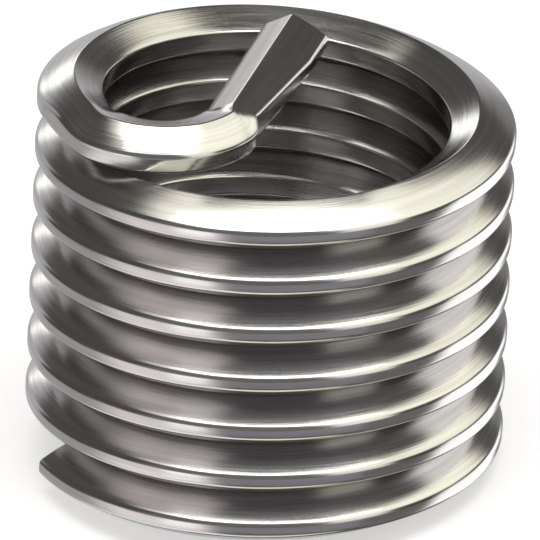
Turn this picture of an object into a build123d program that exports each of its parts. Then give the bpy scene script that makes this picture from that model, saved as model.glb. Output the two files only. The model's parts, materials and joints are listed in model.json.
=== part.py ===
# Helical thread insert: one coil of diamond-section wire with a tang across its mouth.
# Millimetres. Z is the coil's axis, z = 0 is its lowest point, the tang is at the top,
# and -Y is the front.
import os
from math import ceil, cos, radians, sin, sqrt, tan

from build123d import *
from build123d.topology import SkipClean

# The thread the insert makes, and the coil as it stands loose before it is wound in.
pitch = 2.5
outer_diameter = 22.5
coil_turns = 7
lead_turns = 1
cut_end_angle = 202

# The drawn wire: a diamond with 60 degree corners, cut flat at both crests.
wire_height = 3.1
wire_width = pitch
outer_flat = pitch / 5
half_corner = 30
ridge_round = 0.3

# The driving tang. Bending it flattens the crest, from a little before the bend on. It
# breaks off at the notch: a step near the bend's end, and a long slope out along the tang.
bend_radius = 3.6
bend_angle = 144
bend_flat = 0.3
tang_end_gap = 1.0
notch_depth = 0.6
notch_run = 7.5
notch_step_angle = 9

outer_radius = outer_diameter / 2
bore_radius = outer_radius - wire_height
flank_slope = tan(radians(half_corner))
outer_side = (wire_width - outer_flat) / 2 / flank_slope
inner_side = wire_height - outer_side
inner_flat = wire_width - 2 * inner_side * flank_slope
ridge_radius = outer_radius - outer_side
ridge_loss = ridge_round * (1 / cos(radians(half_corner)) - 1)
first_height = wire_width / 2 - ridge_loss
coil_rise = coil_turns * pitch
lead_rise = lead_turns * pitch
turned_turns = coil_turns - lead_turns
turned_rise = coil_rise - lead_rise

# The turned coil is a row of like pieces, each under an eighth of a turn, so that every
# crest piece is a plain patch of a cylinder.
piece_count = ceil(turned_turns * 8)
piece_angle = 360 * turned_turns / piece_count
piece_rise = turned_rise / piece_count
crest_stock = 0.1


def wire_profile(stock):
    """The wire's section, X away from the coil's axis, with its crests higher by stock."""
    outer_x = outer_side + stock
    inner_x = -inner_side - stock
    outer_y = outer_flat / 2 - stock * flank_slope
    inner_y = inner_flat / 2 - stock * flank_slope
    ridge_y = wire_width / 2
    with BuildSketch() as profile:
        with BuildLine():
            Polyline(
                (inner_x, inner_y), (0, ridge_y), (outer_x, outer_y),
                (outer_x, -outer_y), (0, -ridge_y), (inner_x, -inner_y), close=True,
            )
        make_face()
        fillet(profile.vertices().filter_by_position(Axis.X, -0.01, 0.01), ridge_round)
    return profile.sketch


radial_plane = Plane((ridge_radius, 0, 0), x_dir=(1, 0, 0), z_dir=(0, 1, 0))

# One piece of the coil: a short sweep with high crests, turned to both diameters and
# trimmed to its share of the turn.
with BuildPart() as coil_piece:
    with BuildLine() as piece_path:
        Helix(pitch=pitch, height=2 * piece_rise, radius=ridge_radius)
    with BuildSketch(radial_plane):
        add(wire_profile(crest_stock))
    sweep(path=piece_path.line, is_frenet=True)
    with BuildSketch(Plane.XY.offset(-pitch)):
        with BuildLine():
            outer_arc = CenterArc((0, 0), outer_radius, piece_angle / 2, piece_angle)
            bore_arc = CenterArc((0, 0), bore_radius, piece_angle / 2, piece_angle)
            Line(bore_arc @ 0, outer_arc @ 0)
            Line(bore_arc @ 1, outer_arc @ 1)
        make_face()
    extrude(amount=3 * pitch, mode=Mode.INTERSECT)

# Each piece is turned and raised from the one before, as the thread is.
piece_places = [
    Location(
        (0, 0, first_height + (piece - 0.5) * piece_rise),
        (0, 0, cut_end_angle + (piece - 0.5) * piece_angle),
    )
    for piece in range(piece_count)
]

# The leading turn, on the tang's side, keeps its crests as drawn.
lead_start = Location((0, 0, first_height + turned_rise), (0, 0, cut_end_angle + 360 * turned_turns))
with BuildPart() as lead_turn:
    with BuildLine() as lead_path:
        Helix(pitch=pitch, height=lead_rise, radius=ridge_radius)
    with BuildSketch(radial_plane):
        add(wire_profile(0))
    sweep(path=lead_path.line, is_frenet=True)

# The coil's end, where the wire bends inward, and the run that is left to the bore's far side.
end_angle = radians(cut_end_angle + 360 * coil_turns)
outward = Vector(cos(end_angle), sin(end_angle), 0)
forward = Vector(-sin(end_angle), cos(end_angle), 0)
coil_end = outward * ridge_radius + Vector(0, 0, first_height + coil_rise)
bend_plane = Plane(coil_end, x_dir=forward, z_dir=(0, 0, 1))
with BuildLine(bend_plane) as bend_path:
    bend = JernArc(start=(0, 0), tangent=(1, 0), radius=bend_radius, arc_size=bend_angle)
along = bend % 1
bend_end = Vector((bend @ 1).X, (bend @ 1).Y, 0)
run_to_axis = -along.dot(bend_end)
off_axis = (bend_end + along * run_to_axis).length
tang_length = run_to_axis + sqrt((bore_radius - tang_end_gap) ** 2 - off_axis**2)

# The crest's line round the bend, and the notch's points, in the bend's plane.
bend_centre = Vector(0, bend_radius)
crest_bend_radius = bend_radius + outer_side
flat_angle = bend_angle - notch_step_angle
flat_lead_in = Vector(bend_radius, 0)
tang_along = Vector(1, 0).rotate(Axis.Z, bend_angle)
tang_out = Vector(0, -1).rotate(Axis.Z, bend_angle)
notch_root = bend_centre + tang_out * (crest_bend_radius - notch_depth)
notch_end = bend_centre + tang_out * crest_bend_radius + tang_along * notch_run

# The joints between the pieces are kept as seams, so cleaning is off here.
with SkipClean():
    with BuildPart() as insert_wire:
        with Locations(*piece_places):
            add(coil_piece.part)
        with Locations(lead_start):
            add(lead_turn.part)
        # The tang: a tight bend, then straight across the bore.
        with BuildLine() as tang_path:
            add(bend_path.line)
            Line(bend @ 1, bend @ 1 + along * tang_length)
        with BuildSketch(Plane(coil_end, x_dir=outward, z_dir=forward)):
            add(wire_profile(0))
        sweep(path=tang_path.line)
        # The flattened crest and the notch are one cut from outside. Its inner edge runs
        # straight up to the bend, round it, down the step, and out along the tang.
        with BuildSketch(bend_plane):
            with BuildLine():
                flat_arc = CenterArc(bend_centre, crest_bend_radius - bend_flat, -90, flat_angle)
                clear_arc = CenterArc(bend_centre, crest_bend_radius + crest_stock, -90, bend_angle)
                Polyline(
                    flat_arc @ 1,
                    notch_root,
                    notch_end,
                    notch_end + tang_out * crest_stock,
                    clear_arc @ 1,
                )
                Polyline(
                    flat_arc @ 0,
                    flat_arc @ 0 - flat_lead_in,
                    clear_arc @ 0 - flat_lead_in,
                    clear_arc @ 0,
                )
            make_face()
        extrude(amount=outer_flat / 2 + notch_depth, both=True, mode=Mode.SUBTRACT)

insert_wire.part.label = "insert_wire"
os.makedirs("parts", exist_ok=True)
export_step(insert_wire.part, "parts/insert_wire.step")
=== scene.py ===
# Looks of the helical thread insert: its wire as a swept mesh, drawn steel, floor, light and camera.
# Metres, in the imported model's frame: Z is the coil's axis and -Y is the front.
import json
from collections import namedtuple
from math import ceil, cos, pi, radians, sin, sqrt, tan

import bpy
from mathutils import Matrix, Vector


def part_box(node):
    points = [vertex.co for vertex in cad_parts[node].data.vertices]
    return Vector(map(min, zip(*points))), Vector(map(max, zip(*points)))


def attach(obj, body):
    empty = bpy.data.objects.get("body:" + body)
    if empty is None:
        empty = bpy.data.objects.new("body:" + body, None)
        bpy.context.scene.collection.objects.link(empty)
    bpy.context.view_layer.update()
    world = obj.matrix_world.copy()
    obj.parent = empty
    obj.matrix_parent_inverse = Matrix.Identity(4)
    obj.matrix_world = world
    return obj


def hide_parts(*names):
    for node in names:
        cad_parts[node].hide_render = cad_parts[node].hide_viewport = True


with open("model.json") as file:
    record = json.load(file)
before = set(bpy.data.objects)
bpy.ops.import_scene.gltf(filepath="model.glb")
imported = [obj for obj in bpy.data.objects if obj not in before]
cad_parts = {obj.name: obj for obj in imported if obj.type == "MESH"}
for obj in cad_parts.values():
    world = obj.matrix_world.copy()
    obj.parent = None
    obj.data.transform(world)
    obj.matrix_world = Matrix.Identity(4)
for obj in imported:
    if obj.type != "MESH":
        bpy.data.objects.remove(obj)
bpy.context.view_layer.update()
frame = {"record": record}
MM = 0.001

# ---------------------------------------------------------------------------------------
# The wire's sizes. The two radii come from the record and the height from the CAD box.
mounts = {mount["name"]: mount["dims"]["r_mm"] * MM for mount in frame["record"]["mounts"]}
outer_radius = mounts["outside_thread"]
bore_radius = mounts["bore_thread"]
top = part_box("insert_wire")[1].z

pitch = 2.5 * MM
coil_turns = 7
cut_end_angle = 202
wire_height = outer_radius - bore_radius
wire_width = pitch
outer_flat = pitch / 5
half_corner = radians(30)
plain_ridge_round = 0.3 * MM
flank_slope = tan(half_corner)
outer_side = (wire_width - outer_flat) / 2 / flank_slope
inner_side = wire_height - outer_side
inner_flat = wire_width - 2 * inner_side * flank_slope
box_ease = 0.001 * MM
ridge_radius = outer_radius - outer_side - box_ease
coil_rise = coil_turns * pitch
first_height = (top - coil_rise) / 2

bend_radius = 3.6 * MM
bend_angle = 144
bend_flat = 0.3 * MM
tang_end_gap = 1.0 * MM
notch_depth = 0.6 * MM
notch_run = 7.5 * MM
notch_step_angle = 9

# The bent wire's roll, crest down: how far, the bend's first degrees, in which it comes, and
# the degree of the bend where it starts to go again.
bend_roll = radians(15)
roll_in = 28
roll_out_start = 128

# All along the coil the ridges stand higher by this, so that the grooves between the turns
# close. It comes in over a share of a turn at each of the coil's two ends.
turn_swell = 0.0455 * MM
swell_in = 0.05

# How the drawing die left the section: the crest a little fuller than its 60 degree corner,
# the outer flanks slightly convex, and the corners rounded. The ridges end where the plain
# section's rounded ones do.
crest_full = 0.06 * MM
flank_bulge = 0.08 * MM
flank_round = 7 * MM
crest_round = 0.3 * MM
ridge_round = 0.16 * MM
inner_round = 0.16 * MM
ridge_ease = 0.008 * MM
end_bevel = 0.06 * MM
ridge_half = wire_width / 2 - (plain_ridge_round - ridge_round) * (1 / cos(half_corner) - 1)
ridge_half -= ridge_ease

# What an end's bevel is measured against, out and up.
bevel_side = outer_side * 0.8
bevel_half = wire_width * 0.4

# Mesh steps: degrees of the coil and of the bend, lengths along and across the wire, and the
# degrees on each side of an edge that stays crisp. Then the angle from which an edge is
# shaded sharp, and how far off the ends' faces lie on the UV map.
ring_step = 2.5
bend_step = 3
run_step = 0.35 * MM
side_step = 0.3 * MM
edge_ease = 0.4
sharp_angle = radians(38)
cap_uv_offset = 100


def rounded_section(deep, swell):
    """The section as (out, up) points counterclockwise. Its outer crest is cut down by deep,
    and its ridges stand higher by swell."""
    crest = outer_side - deep
    crest_half = outer_flat / 2 + crest_full + deep * flank_slope
    middle = crest / 2
    middle_half = (crest_half + ridge_half + swell) / 2 + flank_bulge * (crest / outer_side) ** 2
    half_flank = outer_side / 2 / cos(half_corner)
    inner_flank = inner_side / cos(half_corner)
    # Each corner: out, up, the radius it is rounded to, the rounding's steps, and the plain
    # length of the side after it.
    corners = [
        (crest, -crest_half, crest_round, 7, outer_flat),
        (crest, crest_half, crest_round, 7, half_flank),
        (middle, middle_half, flank_round, 4, half_flank),
        (0, ridge_half + swell, ridge_round, 8, inner_flank),
        (-inner_side, inner_flat / 2, inner_round, 4, inner_flat),
        (-inner_side, -inner_flat / 2, inner_round, 4, inner_flank),
        (0, -ridge_half - swell, ridge_round, 8, half_flank),
        (middle, -middle_half, flank_round, 4, half_flank),
    ]
    arcs = []
    for index, (x, y, radius, steps, side) in enumerate(corners):
        before = Vector(corners[index - 1][:2])
        after = Vector(corners[(index + 1) % len(corners)][:2])
        here = Vector((x, y))
        back = (before - here).normalized()
        ahead = (after - here).normalized()
        half = back.angle(ahead) / 2
        centre = here + (back + ahead).normalized() * (radius / sin(half))
        start = here + back * (radius / tan(half)) - centre
        turn = pi - 2 * half
        arc = [centre + Matrix.Rotation(turn * step / steps, 2) @ start for step in range(steps + 1)]
        arcs.append((arc, max(1, round(side / side_step))))
    outline = []
    for index, (arc, pieces) in enumerate(arcs):
        following = arcs[(index + 1) % len(arcs)][0][0]
        outline += arc[:-1]
        outline += [arc[-1].lerp(following, piece / pieces) for piece in range(pieces)]
    return outline


section = rounded_section(0, 0)
section_run = [0.0]
for index, point in enumerate(section):
    section_run.append(section_run[-1] + (section[(index + 1) % len(section)] - point).length)


def eased(share):
    """0 up to share 0, 1 from share 1, and smooth between."""
    return 0.5 - 0.5 * cos(pi * min(1.0, max(0.0, share)))


# ---------------------------------------------------------------------------------------
# The wire's path, as rings: a centre, the direction that "out" points, the run so far, how
# far the crest is cut down, how far the section has rolled crest down, and how far the
# ridges stand higher.
Ring = namedtuple("Ring", "centre out run deep roll swell")
rings = []
run = 0.0
turned = 360 * coil_turns
steps = ceil(turned / ring_step)
turn_length = radians(turned / steps) * ridge_radius
for step in range(steps + 1):
    angle = radians(cut_end_angle + turned * step / steps)
    out = Vector((cos(angle), sin(angle), 0))
    rise = coil_rise * step / steps
    # Up to the bend the flattened crest is a straight line, which meets the round coil.
    to_bend = radians(min(90 - ring_step, turned * (1 - step / steps)))
    deep = max(0.0, outer_radius - (outer_radius - bend_flat) / cos(to_bend))
    from_end = min(step, steps - step) / steps * coil_turns
    swell = turn_swell * min(1.0, from_end / swell_in)
    centre = out * ridge_radius + Vector((0, 0, first_height + rise))
    rings.append(Ring(centre, out, run, deep, 0, swell))
    run += turn_length

# Round the bend the crest stays flattened, and near its end the notch's step goes down.
# Bending rolled the wire a little, crest down.
coil_end, end_out = rings[-1].centre, rings[-1].out
bend_centre = coil_end - end_out * bend_radius
flat_angle = bend_angle - notch_step_angle
flat_steps = ceil(flat_angle / bend_step)
bend_turns = [flat_angle * step / flat_steps for step in range(1, flat_steps)]
bend_turns += [flat_angle - edge_ease, flat_angle + edge_ease, bend_angle - notch_step_angle / 2]
bend_turns += [bend_angle - edge_ease, bend_angle]
for turn in bend_turns:
    out = Matrix.Rotation(radians(turn), 3, "Z") @ end_out
    down = max(0.0, turn - flat_angle) / notch_step_angle
    deep = bend_flat + (notch_depth - bend_flat) * down
    roll = bend_roll * eased(turn / roll_in)
    roll -= bend_roll * eased((turn - roll_out_start) / (bend_angle - roll_out_start))
    centre = bend_centre + out * bend_radius
    rings.append(Ring(centre, out, run + radians(turn) * bend_radius, deep, roll, 0))
run += radians(bend_angle) * bend_radius

# Then the notch's long slope comes back up to the crest, part way along the tang.
bend_end, tang_out = rings[-1].centre, rings[-1].out
along = Vector((-tang_out.y, tang_out.x, 0))
run_to_axis = -along.dot(bend_end)
off_axis = (Vector((bend_end.x, bend_end.y, 0)) + along * run_to_axis).length
tang_length = run_to_axis + sqrt((bore_radius - tang_end_gap) ** 2 - off_axis ** 2)
tang_steps = ceil(tang_length / run_step)
for step in range(1, tang_steps + 1):
    station = tang_length * step / tang_steps
    deep = notch_depth * max(0.0, 1 - station / notch_run)
    rings.append(Ring(bend_end + along * station, tang_out, run + station, deep, 0, 0))

# ---------------------------------------------------------------------------------------
# The mesh: rings of the section, a bevelled flat cap at each end.
vertices = []
faces = []
face_uv = []


def ring_points(ring, inset):
    shaped = rounded_section(ring.deep, ring.swell) if ring.deep or ring.swell else section
    placed = []
    for point in shaped:
        x = point.x * (1 - inset / bevel_side)
        y = point.y * (1 - inset / bevel_half)
        level = x * cos(ring.roll) + y * sin(ring.roll)
        lift = y * cos(ring.roll) - x * sin(ring.roll)
        placed.append(ring.centre + ring.out * level + Vector((0, 0, lift)))
    return placed


# Each end has a bevel: a full ring a little way in, and a smaller one at the end itself.
first, last = rings[0], rings[-1]
first_forward = Vector((-first.out.y, first.out.x, 0))
full_first = first._replace(centre=first.centre + first_forward * end_bevel, run=end_bevel)
full_last = last._replace(centre=last.centre - along * end_bevel, run=last.run - end_bevel)
all_rings = [first, full_first, *rings[1:-1], full_last, last]
insets = [end_bevel] + [0] * (len(all_rings) - 2) + [end_bevel]

count = len(section)
for ring, inset in zip(all_rings, insets):
    vertices += ring_points(ring, inset)
for index in range(len(all_rings) - 1):
    run_a = all_rings[index].run / MM
    run_b = all_rings[index + 1].run / MM
    for side in range(count):
        after = (side + 1) % count
        a = index * count + side
        b = index * count + after
        faces.append((a, a + count, b + count, b))
        low = section_run[side] / MM
        high = section_run[side + 1] / MM
        face_uv.append([(run_a, low), (run_b, low), (run_b, high), (run_a, high)])
for start, order in ((0, 1), ((len(all_rings) - 1) * count, -1)):
    cap = [start + side for side in range(count)][::order]
    faces.append(cap)
    face_uv.append([(vertices[v].y / MM + cap_uv_offset, vertices[v].z / MM) for v in cap])

mesh = bpy.data.meshes.new("wire")
mesh.from_pydata([tuple(v) for v in vertices], [], faces)
uv_layer = mesh.uv_layers.new(name="wire_run")
flat_uv = [value for corners in face_uv for pair in corners for value in pair]
uv_layer.data.foreach_set("uv", flat_uv)
mesh.polygons.foreach_set("use_smooth", [True] * len(mesh.polygons))
mesh.validate()
mesh.update()
mesh.set_sharp_from_angle(angle=sharp_angle)
wire = bpy.data.objects.new("wire", mesh)
bpy.context.scene.collection.objects.link(wire)

# ---------------------------------------------------------------------------------------
# Materials.


def new_material(name):
    material = bpy.data.materials.new(name)
    material.use_nodes = True
    tree = material.node_tree
    tree.nodes.clear()
    return material, tree


def node(tree, kind, **values):
    made = tree.nodes.new(kind)
    for key, value in values.items():
        setattr(made, key, value)
    return made


steel, tree = new_material("drawn_steel")
links = tree.links
out_node = node(tree, "ShaderNodeOutputMaterial")
shader = node(tree, "ShaderNodeBsdfPrincipled")
links.new(shader.outputs[0], out_node.inputs[0])
shader.inputs["Metallic"].default_value = 1.0
shader.inputs["Anisotropic"].default_value = 0.5
shader.inputs["Anisotropic Rotation"].default_value = 0.25
uv = node(tree, "ShaderNodeUVMap", uv_map="wire_run")
tangent = node(tree, "ShaderNodeTangent", direction_type="UV_MAP", uv_map="wire_run")
links.new(tangent.outputs[0], shader.inputs["Tangent"])


def streaks(along_scale, across_scale, detail):
    """Noise that is drawn out along the wire."""
    mapping = node(tree, "ShaderNodeMapping")
    mapping.inputs["Scale"].default_value = (along_scale, across_scale, 1)
    links.new(uv.outputs[0], mapping.inputs[0])
    noise = node(tree, "ShaderNodeTexNoise")
    noise.inputs["Scale"].default_value = 1.0
    noise.inputs["Detail"].default_value = detail
    noise.inputs["Roughness"].default_value = 0.6
    links.new(mapping.outputs[0], noise.inputs["Vector"])
    return noise.outputs["Fac"]


def ramp(fac, low, high):
    """Spreads the noise's middle part over low to high."""
    made = node(tree, "ShaderNodeMapRange")
    made.inputs["From Min"].default_value = 0.35
    made.inputs["From Max"].default_value = 0.65
    made.inputs["To Min"].default_value = low
    made.inputs["To Max"].default_value = high
    links.new(fac, made.inputs["Value"])
    return made.outputs[0]


fine = streaks(along_scale=0.25, across_scale=14, detail=3)
broad = streaks(along_scale=0.06, across_scale=2.5, detail=2)
links.new(ramp(fine, low=0.14, high=0.21), shader.inputs["Roughness"])
tone = node(tree, "ShaderNodeMix", data_type="RGBA")
tone.inputs["A"].default_value = (0.54, 0.53, 0.52, 1)
tone.inputs["B"].default_value = (0.64, 0.63, 0.62, 1)
links.new(ramp(broad, low=0, high=1), tone.inputs["Factor"])
links.new(tone.outputs["Result"], shader.inputs["Base Color"])
bump = node(tree, "ShaderNodeBump")
bump.inputs["Strength"].default_value = 0.12
bump.inputs["Distance"].default_value = 0.03 * MM
links.new(fine, bump.inputs["Height"])
links.new(bump.outputs[0], shader.inputs["Normal"])
mesh.materials.append(steel)

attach(wire, "root")
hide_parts("insert_wire")

# ---------------------------------------------------------------------------------------
# The stage. The floor leans to meet the wire as it really rests on its lowest turn.
rest_tilt = radians(4.3)
climb_before_cut_end = 147.5
rest_heading = radians(cut_end_angle - climb_before_cut_end)
floor_size = 0.6
floor_gap = 0.03 * MM


def stage_plane(name, size_x, size_y, place, facing, material):
    half_x, half_y = size_x / 2, size_y / 2
    made = bpy.data.meshes.new(name)
    corners = [(-half_x, -half_y, 0), (half_x, -half_y, 0), (half_x, half_y, 0), (-half_x, half_y, 0)]
    made.from_pydata(corners, [], [(0, 1, 2, 3)])
    made.materials.append(material)
    placed = bpy.data.objects.new(name, made)
    bpy.context.scene.collection.objects.link(placed)
    placed.rotation_mode = "QUATERNION"
    placed.rotation_quaternion = Vector(facing).to_track_quat("Z", "Y")
    placed.location = place
    return placed


def glossy_only(stage_object):
    """Leaves a piece of the stage to the metal's reflections alone."""
    stage_object.visible_camera = False
    stage_object.visible_diffuse = False
    stage_object.visible_transmission = False
    stage_object.visible_shadow = False


def seen_directly(tree):
    """1 for camera, glossy and transmission rays, and 0 for the rest."""
    path = node(tree, "ShaderNodeLightPath")
    first_two = node(tree, "ShaderNodeMath", operation="MAXIMUM")
    all_three = node(tree, "ShaderNodeMath", operation="MAXIMUM")
    tree.links.new(path.outputs["Is Camera Ray"], first_two.inputs[0])
    tree.links.new(path.outputs["Is Glossy Ray"], first_two.inputs[1])
    tree.links.new(first_two.outputs[0], all_three.inputs[0])
    tree.links.new(path.outputs["Is Transmission Ray"], all_three.inputs[1])
    return all_three.outputs[0]


heading = Vector((cos(rest_heading), sin(rest_heading), 0))
floor_normal = Vector((-heading.x * sin(rest_tilt), -heading.y * sin(rest_tilt), cos(rest_tilt)))
cut_end = radians(cut_end_angle)
lowest = Vector((ridge_radius * cos(cut_end), ridge_radius * sin(cut_end), 0))

paper, tree = new_material("white_paper")
out_node = node(tree, "ShaderNodeOutputMaterial")
diffuse = node(tree, "ShaderNodeBsdfDiffuse")
diffuse.inputs["Color"].default_value = (0.8, 0.8, 0.8, 1)
glow = node(tree, "ShaderNodeEmission")
glow.inputs["Strength"].default_value = 0.45
both = node(tree, "ShaderNodeAddShader")
pick = node(tree, "ShaderNodeMixShader")
tree.links.new(diffuse.outputs[0], both.inputs[0])
tree.links.new(glow.outputs[0], both.inputs[1])
tree.links.new(seen_directly(tree), pick.inputs[0])
tree.links.new(diffuse.outputs[0], pick.inputs[1])
tree.links.new(both.outputs[0], pick.inputs[2])
tree.links.new(pick.outputs[0], out_node.inputs[0])
floor_place = lowest - floor_normal * floor_gap
floor = stage_plane("floor", floor_size, floor_size, floor_place, floor_normal, paper)
floor.visible_glossy = False


# A glowing sphere round the object, in place of the floor and the world, which only the metal's
# reflections see: it lights nothing, and its bright and dark patches are painted reflections.
# Directions are compass bearings from the front, plus to the right, and heights above the
# horizon, all in degrees.
tent_radius = 0.5


def smooth_band(tree, value, low, high, soft):
    """1 where value is between low and high, falling to 0 over soft on each side."""
    rise = node(tree, "ShaderNodeMapRange", interpolation_type="SMOOTHSTEP")
    rise.inputs["From Min"].default_value = low - soft / 2
    rise.inputs["From Max"].default_value = low + soft / 2
    fall = node(tree, "ShaderNodeMapRange", interpolation_type="SMOOTHSTEP")
    fall.inputs["From Min"].default_value = high - soft / 2
    fall.inputs["From Max"].default_value = high + soft / 2
    fall.inputs["To Min"].default_value = 1
    fall.inputs["To Max"].default_value = 0
    tree.links.new(value, rise.inputs["Value"])
    tree.links.new(value, fall.inputs["Value"])
    product = node(tree, "ShaderNodeMath", operation="MULTIPLY")
    tree.links.new(rise.outputs[0], product.inputs[0])
    tree.links.new(fall.outputs[0], product.inputs[1])
    return product.outputs[0]


def math_node(tree, operation, first, second=None):
    made = node(tree, "ShaderNodeMath", operation=operation)
    for socket, value in zip(made.inputs, (first, second)):
        if value is None:
            continue
        if isinstance(value, (int, float)):
            socket.default_value = value
        else:
            tree.links.new(value, socket)
    return made.outputs[0]


# The painted reflections' dark base, where no patch lies.
painted_reflection_base = (0.10, 0.095, 0.09)
# Each painted reflection patch: bearing from, bearing to, height from, height to, softness,
# brightness, colour.
painted_reflection_patches = [
    # Painted reflection of a ceiling, bright and warm.
    (-400, 400, 58, 100, 8, 1.4, (1.0, 0.985, 0.88)),
    # Painted reflection of a back wall, light near the horizon, the more so on the left.
    (128, 166, -60, 15, 8, 0.30, (1.0, 0.97, 0.98)),
    (164, 232, -60, 20, 8, 0.60, (0.98, 0.97, 1.0)),
    # Painted reflection of the paper near the object, bright and warm, and brighter on the left.
    (-62, 62, -95, -52, 8, 1.3, (1.0, 0.98, 0.72)),
    (-125, -15, -75, -44, 8, 1.3, (1.0, 0.98, 0.98)),
    # Painted reflections of what stands in front above the table.
    (30, 60, -10, 58, 10, 1.2, (1.0, 0.99, 0.92)),
    (-60, 30, -10, 66, 10, 0.2, (1.0, 0.98, 0.97)),
    # Painted reflections of the table low on the left, and of the bright sheet on it.
    (-140, -78, -44, -17, 10, 0.50, (1.0, 0.96, 0.94)),
    (-82, -22, -46, -9, 26, 1.15, (1.0, 0.93, 0.94)),
    (-46, -27, -26, -12, 6, 1.7, (1.0, 1.0, 1.0)),
    # Painted reflection of the table in front and on the right.
    (-20, 50, -52, -30, 10, 0.12, (0.95, 0.95, 1.0)),
    (-20, 50, -31, -14, 8, 0.38, (0.93, 0.90, 1.0)),
    (50, 91, -60, -14, 8, 0.20, (1.0, 0.97, 0.95)),
    # Painted reflection of the window on the right, and a painted highlight from the high sheet on the
    # bend's end.
    (91, 147, -40, 8, 12, 1.8, (1.0, 0.99, 0.98)),
    (28, 138, 27, 72, 8, 1.5, (1.0, 0.985, 0.84)),
    # Painted reflection of a small bright sheet far back on the left.
    (188, 206, 7, 17, 3, 2.0, (1.0, 1.0, 0.95)),
]

# The sphere's painted reflections glow: the patches mixed over the dark base.
painted_reflection_material, tree = new_material("painted_reflections")
geometry = node(tree, "ShaderNodeNewGeometry")
split = node(tree, "ShaderNodeSeparateXYZ")
tree.links.new(geometry.outputs["Position"], split.inputs[0])
front = math_node(tree, "MULTIPLY", split.outputs["Y"], -1.0)
bearing = math_node(tree, "DEGREES", math_node(tree, "ARCTAN2", split.outputs["X"], front))
height = math_node(tree, "DEGREES", math_node(tree, "ARCSINE", math_node(
    tree, "MULTIPLY", math_node(tree, "SUBTRACT", split.outputs["Z"], top / 2), 1 / tent_radius)))
# A second reading of the bearing, from 0 to 360, for patches that lie behind.
behind = math_node(tree, "MODULO", math_node(tree, "ADD", bearing, 360.0), 360.0)
shade = None
for low, high, down, up, soft, brightness, colour in painted_reflection_patches:
    around = smooth_band(tree, behind if high > 180 else bearing, low, high, soft)
    tall = smooth_band(tree, height, down, up, soft)
    weight = math_node(tree, "MULTIPLY", around, tall)
    mix = node(tree, "ShaderNodeMix", data_type="RGBA")
    if shade is None:
        mix.inputs["A"].default_value = (*painted_reflection_base, 1)
    else:
        tree.links.new(shade, mix.inputs["A"])
    mix.inputs["B"].default_value = (*(brightness * part for part in colour), 1)
    tree.links.new(weight, mix.inputs["Factor"])
    shade = mix.outputs["Result"]
surface = node(tree, "ShaderNodeEmission")
tree.links.new(shade, surface.inputs["Color"])
out_node = node(tree, "ShaderNodeOutputMaterial")
tree.links.new(surface.outputs[0], out_node.inputs[0])

tent_mesh = bpy.data.meshes.new("tent")
tent_points = []
tent_faces = []
tent_rows, tent_columns = 48, 96
for row in range(tent_rows + 1):
    lift = radians(-90 + 180 * row / tent_rows)
    for column in range(tent_columns):
        swing = radians(360 * column / tent_columns)
        tent_points.append((cos(lift) * cos(swing) * tent_radius, cos(lift) * sin(swing) * tent_radius,
                            sin(lift) * tent_radius + top / 2))
for row in range(tent_rows):
    for column in range(tent_columns):
        beside = (column + 1) % tent_columns
        a = row * tent_columns + column
        b = row * tent_columns + beside
        tent_faces.append((a, a + tent_columns, b + tent_columns, b))
tent_mesh.from_pydata(tent_points, [], tent_faces)
tent_mesh.materials.append(painted_reflection_material)
tent = bpy.data.objects.new("tent", tent_mesh)
bpy.context.scene.collection.objects.link(tent)
glossy_only(tent)

# The paper inside the bore lies in deep shade. A dark plane there shows that to the metal.
dark_reflection_material, tree = new_material("painted_dark_reflection")
shaded = node(tree, "ShaderNodeEmission")
shaded.inputs["Color"].default_value = (0.03, 0.025, 0.02, 1)
out_node = node(tree, "ShaderNodeOutputMaterial")
tree.links.new(shaded.outputs[0], out_node.inputs[0])
shade_side = bore_radius * 2 / sqrt(2)
bore_shade = stage_plane("bore_shade", shade_side, shade_side, (0, 0, 0), (0, 0, 1), dark_reflection_material)
glossy_only(bore_shade)

# A dark card over the back, seen only in the metal's reflections: a painted dark reflection, so that
# the back of the top turn stays dark under the painted bright ceiling.
card_side = 0.030
card_place = (0, 0.0185, 0.060)
back_card = stage_plane("back_card", card_side, card_side, card_place, (0, 0, -1), dark_reflection_material)
glossy_only(back_card)

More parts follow.
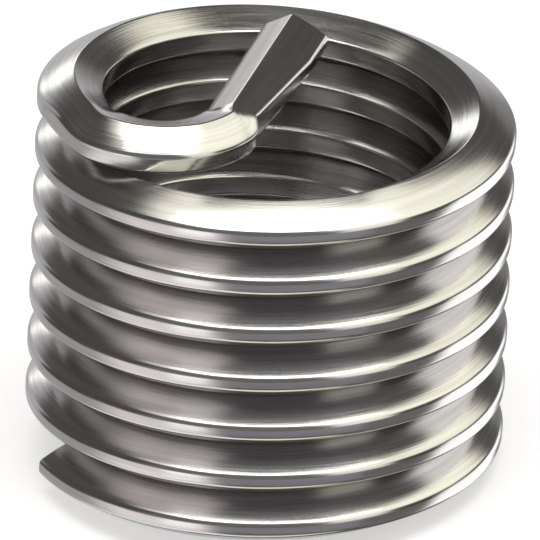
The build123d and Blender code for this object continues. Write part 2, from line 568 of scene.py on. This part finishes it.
world = bpy.data.worlds.new("studio")
bpy.context.scene.world = world
world.use_nodes = True
tree = world.node_tree
tree.nodes.clear()
out_node = node(tree, "ShaderNodeOutputWorld")
soft = node(tree, "ShaderNodeBackground")
soft.inputs["Strength"].default_value = 0.5
soft.inputs["Color"].default_value = (1, 1, 1, 1)
white = node(tree, "ShaderNodeBackground")
white.inputs["Strength"].default_value = 1.0
white.inputs["Color"].default_value = (1, 1, 1, 1)
pick = node(tree, "ShaderNodeMixShader")
tree.links.new(seen_directly(tree), pick.inputs[0])
tree.links.new(soft.outputs[0], pick.inputs[1])
tree.links.new(white.outputs[0], pick.inputs[2])
tree.links.new(pick.outputs[0], out_node.inputs[0])

# One softbox overhead, a little in front.
softbox_place = Vector((0.0, -0.055, 0.30))
softbox_width = 0.27
softbox_length = 0.17
softbox_radiance = 3.2
softbox_data = bpy.data.lights.new("softbox", "AREA")
softbox_data.shape = "RECTANGLE"
softbox_data.size = softbox_width
softbox_data.size_y = softbox_length
softbox_data.energy = softbox_radiance * pi * softbox_width * softbox_length
softbox_data.color = (1.0, 0.985, 0.95)
softbox = bpy.data.objects.new("softbox", softbox_data)
bpy.context.scene.collection.objects.link(softbox)
softbox.location = softbox_place
softbox.rotation_mode = "QUATERNION"
softbox.rotation_quaternion = Vector((0, 0, 1)).to_track_quat("Z", "Y")

# ---------------------------------------------------------------------------------------
# The camera: in front, looking down 25 degrees, from far off, and rolled a little.
elevation = radians(25)
roll = radians(2.5)
distance = 1.2
frame_margin = 1.125
frame_width = frame_margin * 2 * outer_radius
aim = Vector((0.0, 0.0, 9.9 * MM))
camera_data = bpy.data.cameras.new("camera")
camera_data.sensor_width = 36
camera_data.lens = camera_data.sensor_width * distance / frame_width
camera_data.clip_start = 0.01
camera = bpy.data.objects.new("camera", camera_data)
bpy.context.scene.collection.objects.link(camera)
eye = aim + Vector((0, -cos(elevation), sin(elevation))) * distance
camera.location = eye
camera.rotation_mode = "QUATERNION"
facing = (eye - aim).to_track_quat("Z", "Y")
camera.rotation_quaternion = facing @ Matrix.Rotation(roll, 3, "Z").to_quaternion()
bpy.context.scene.camera = camera
bpy.context.scene.view_settings.view_transform = "Standard"
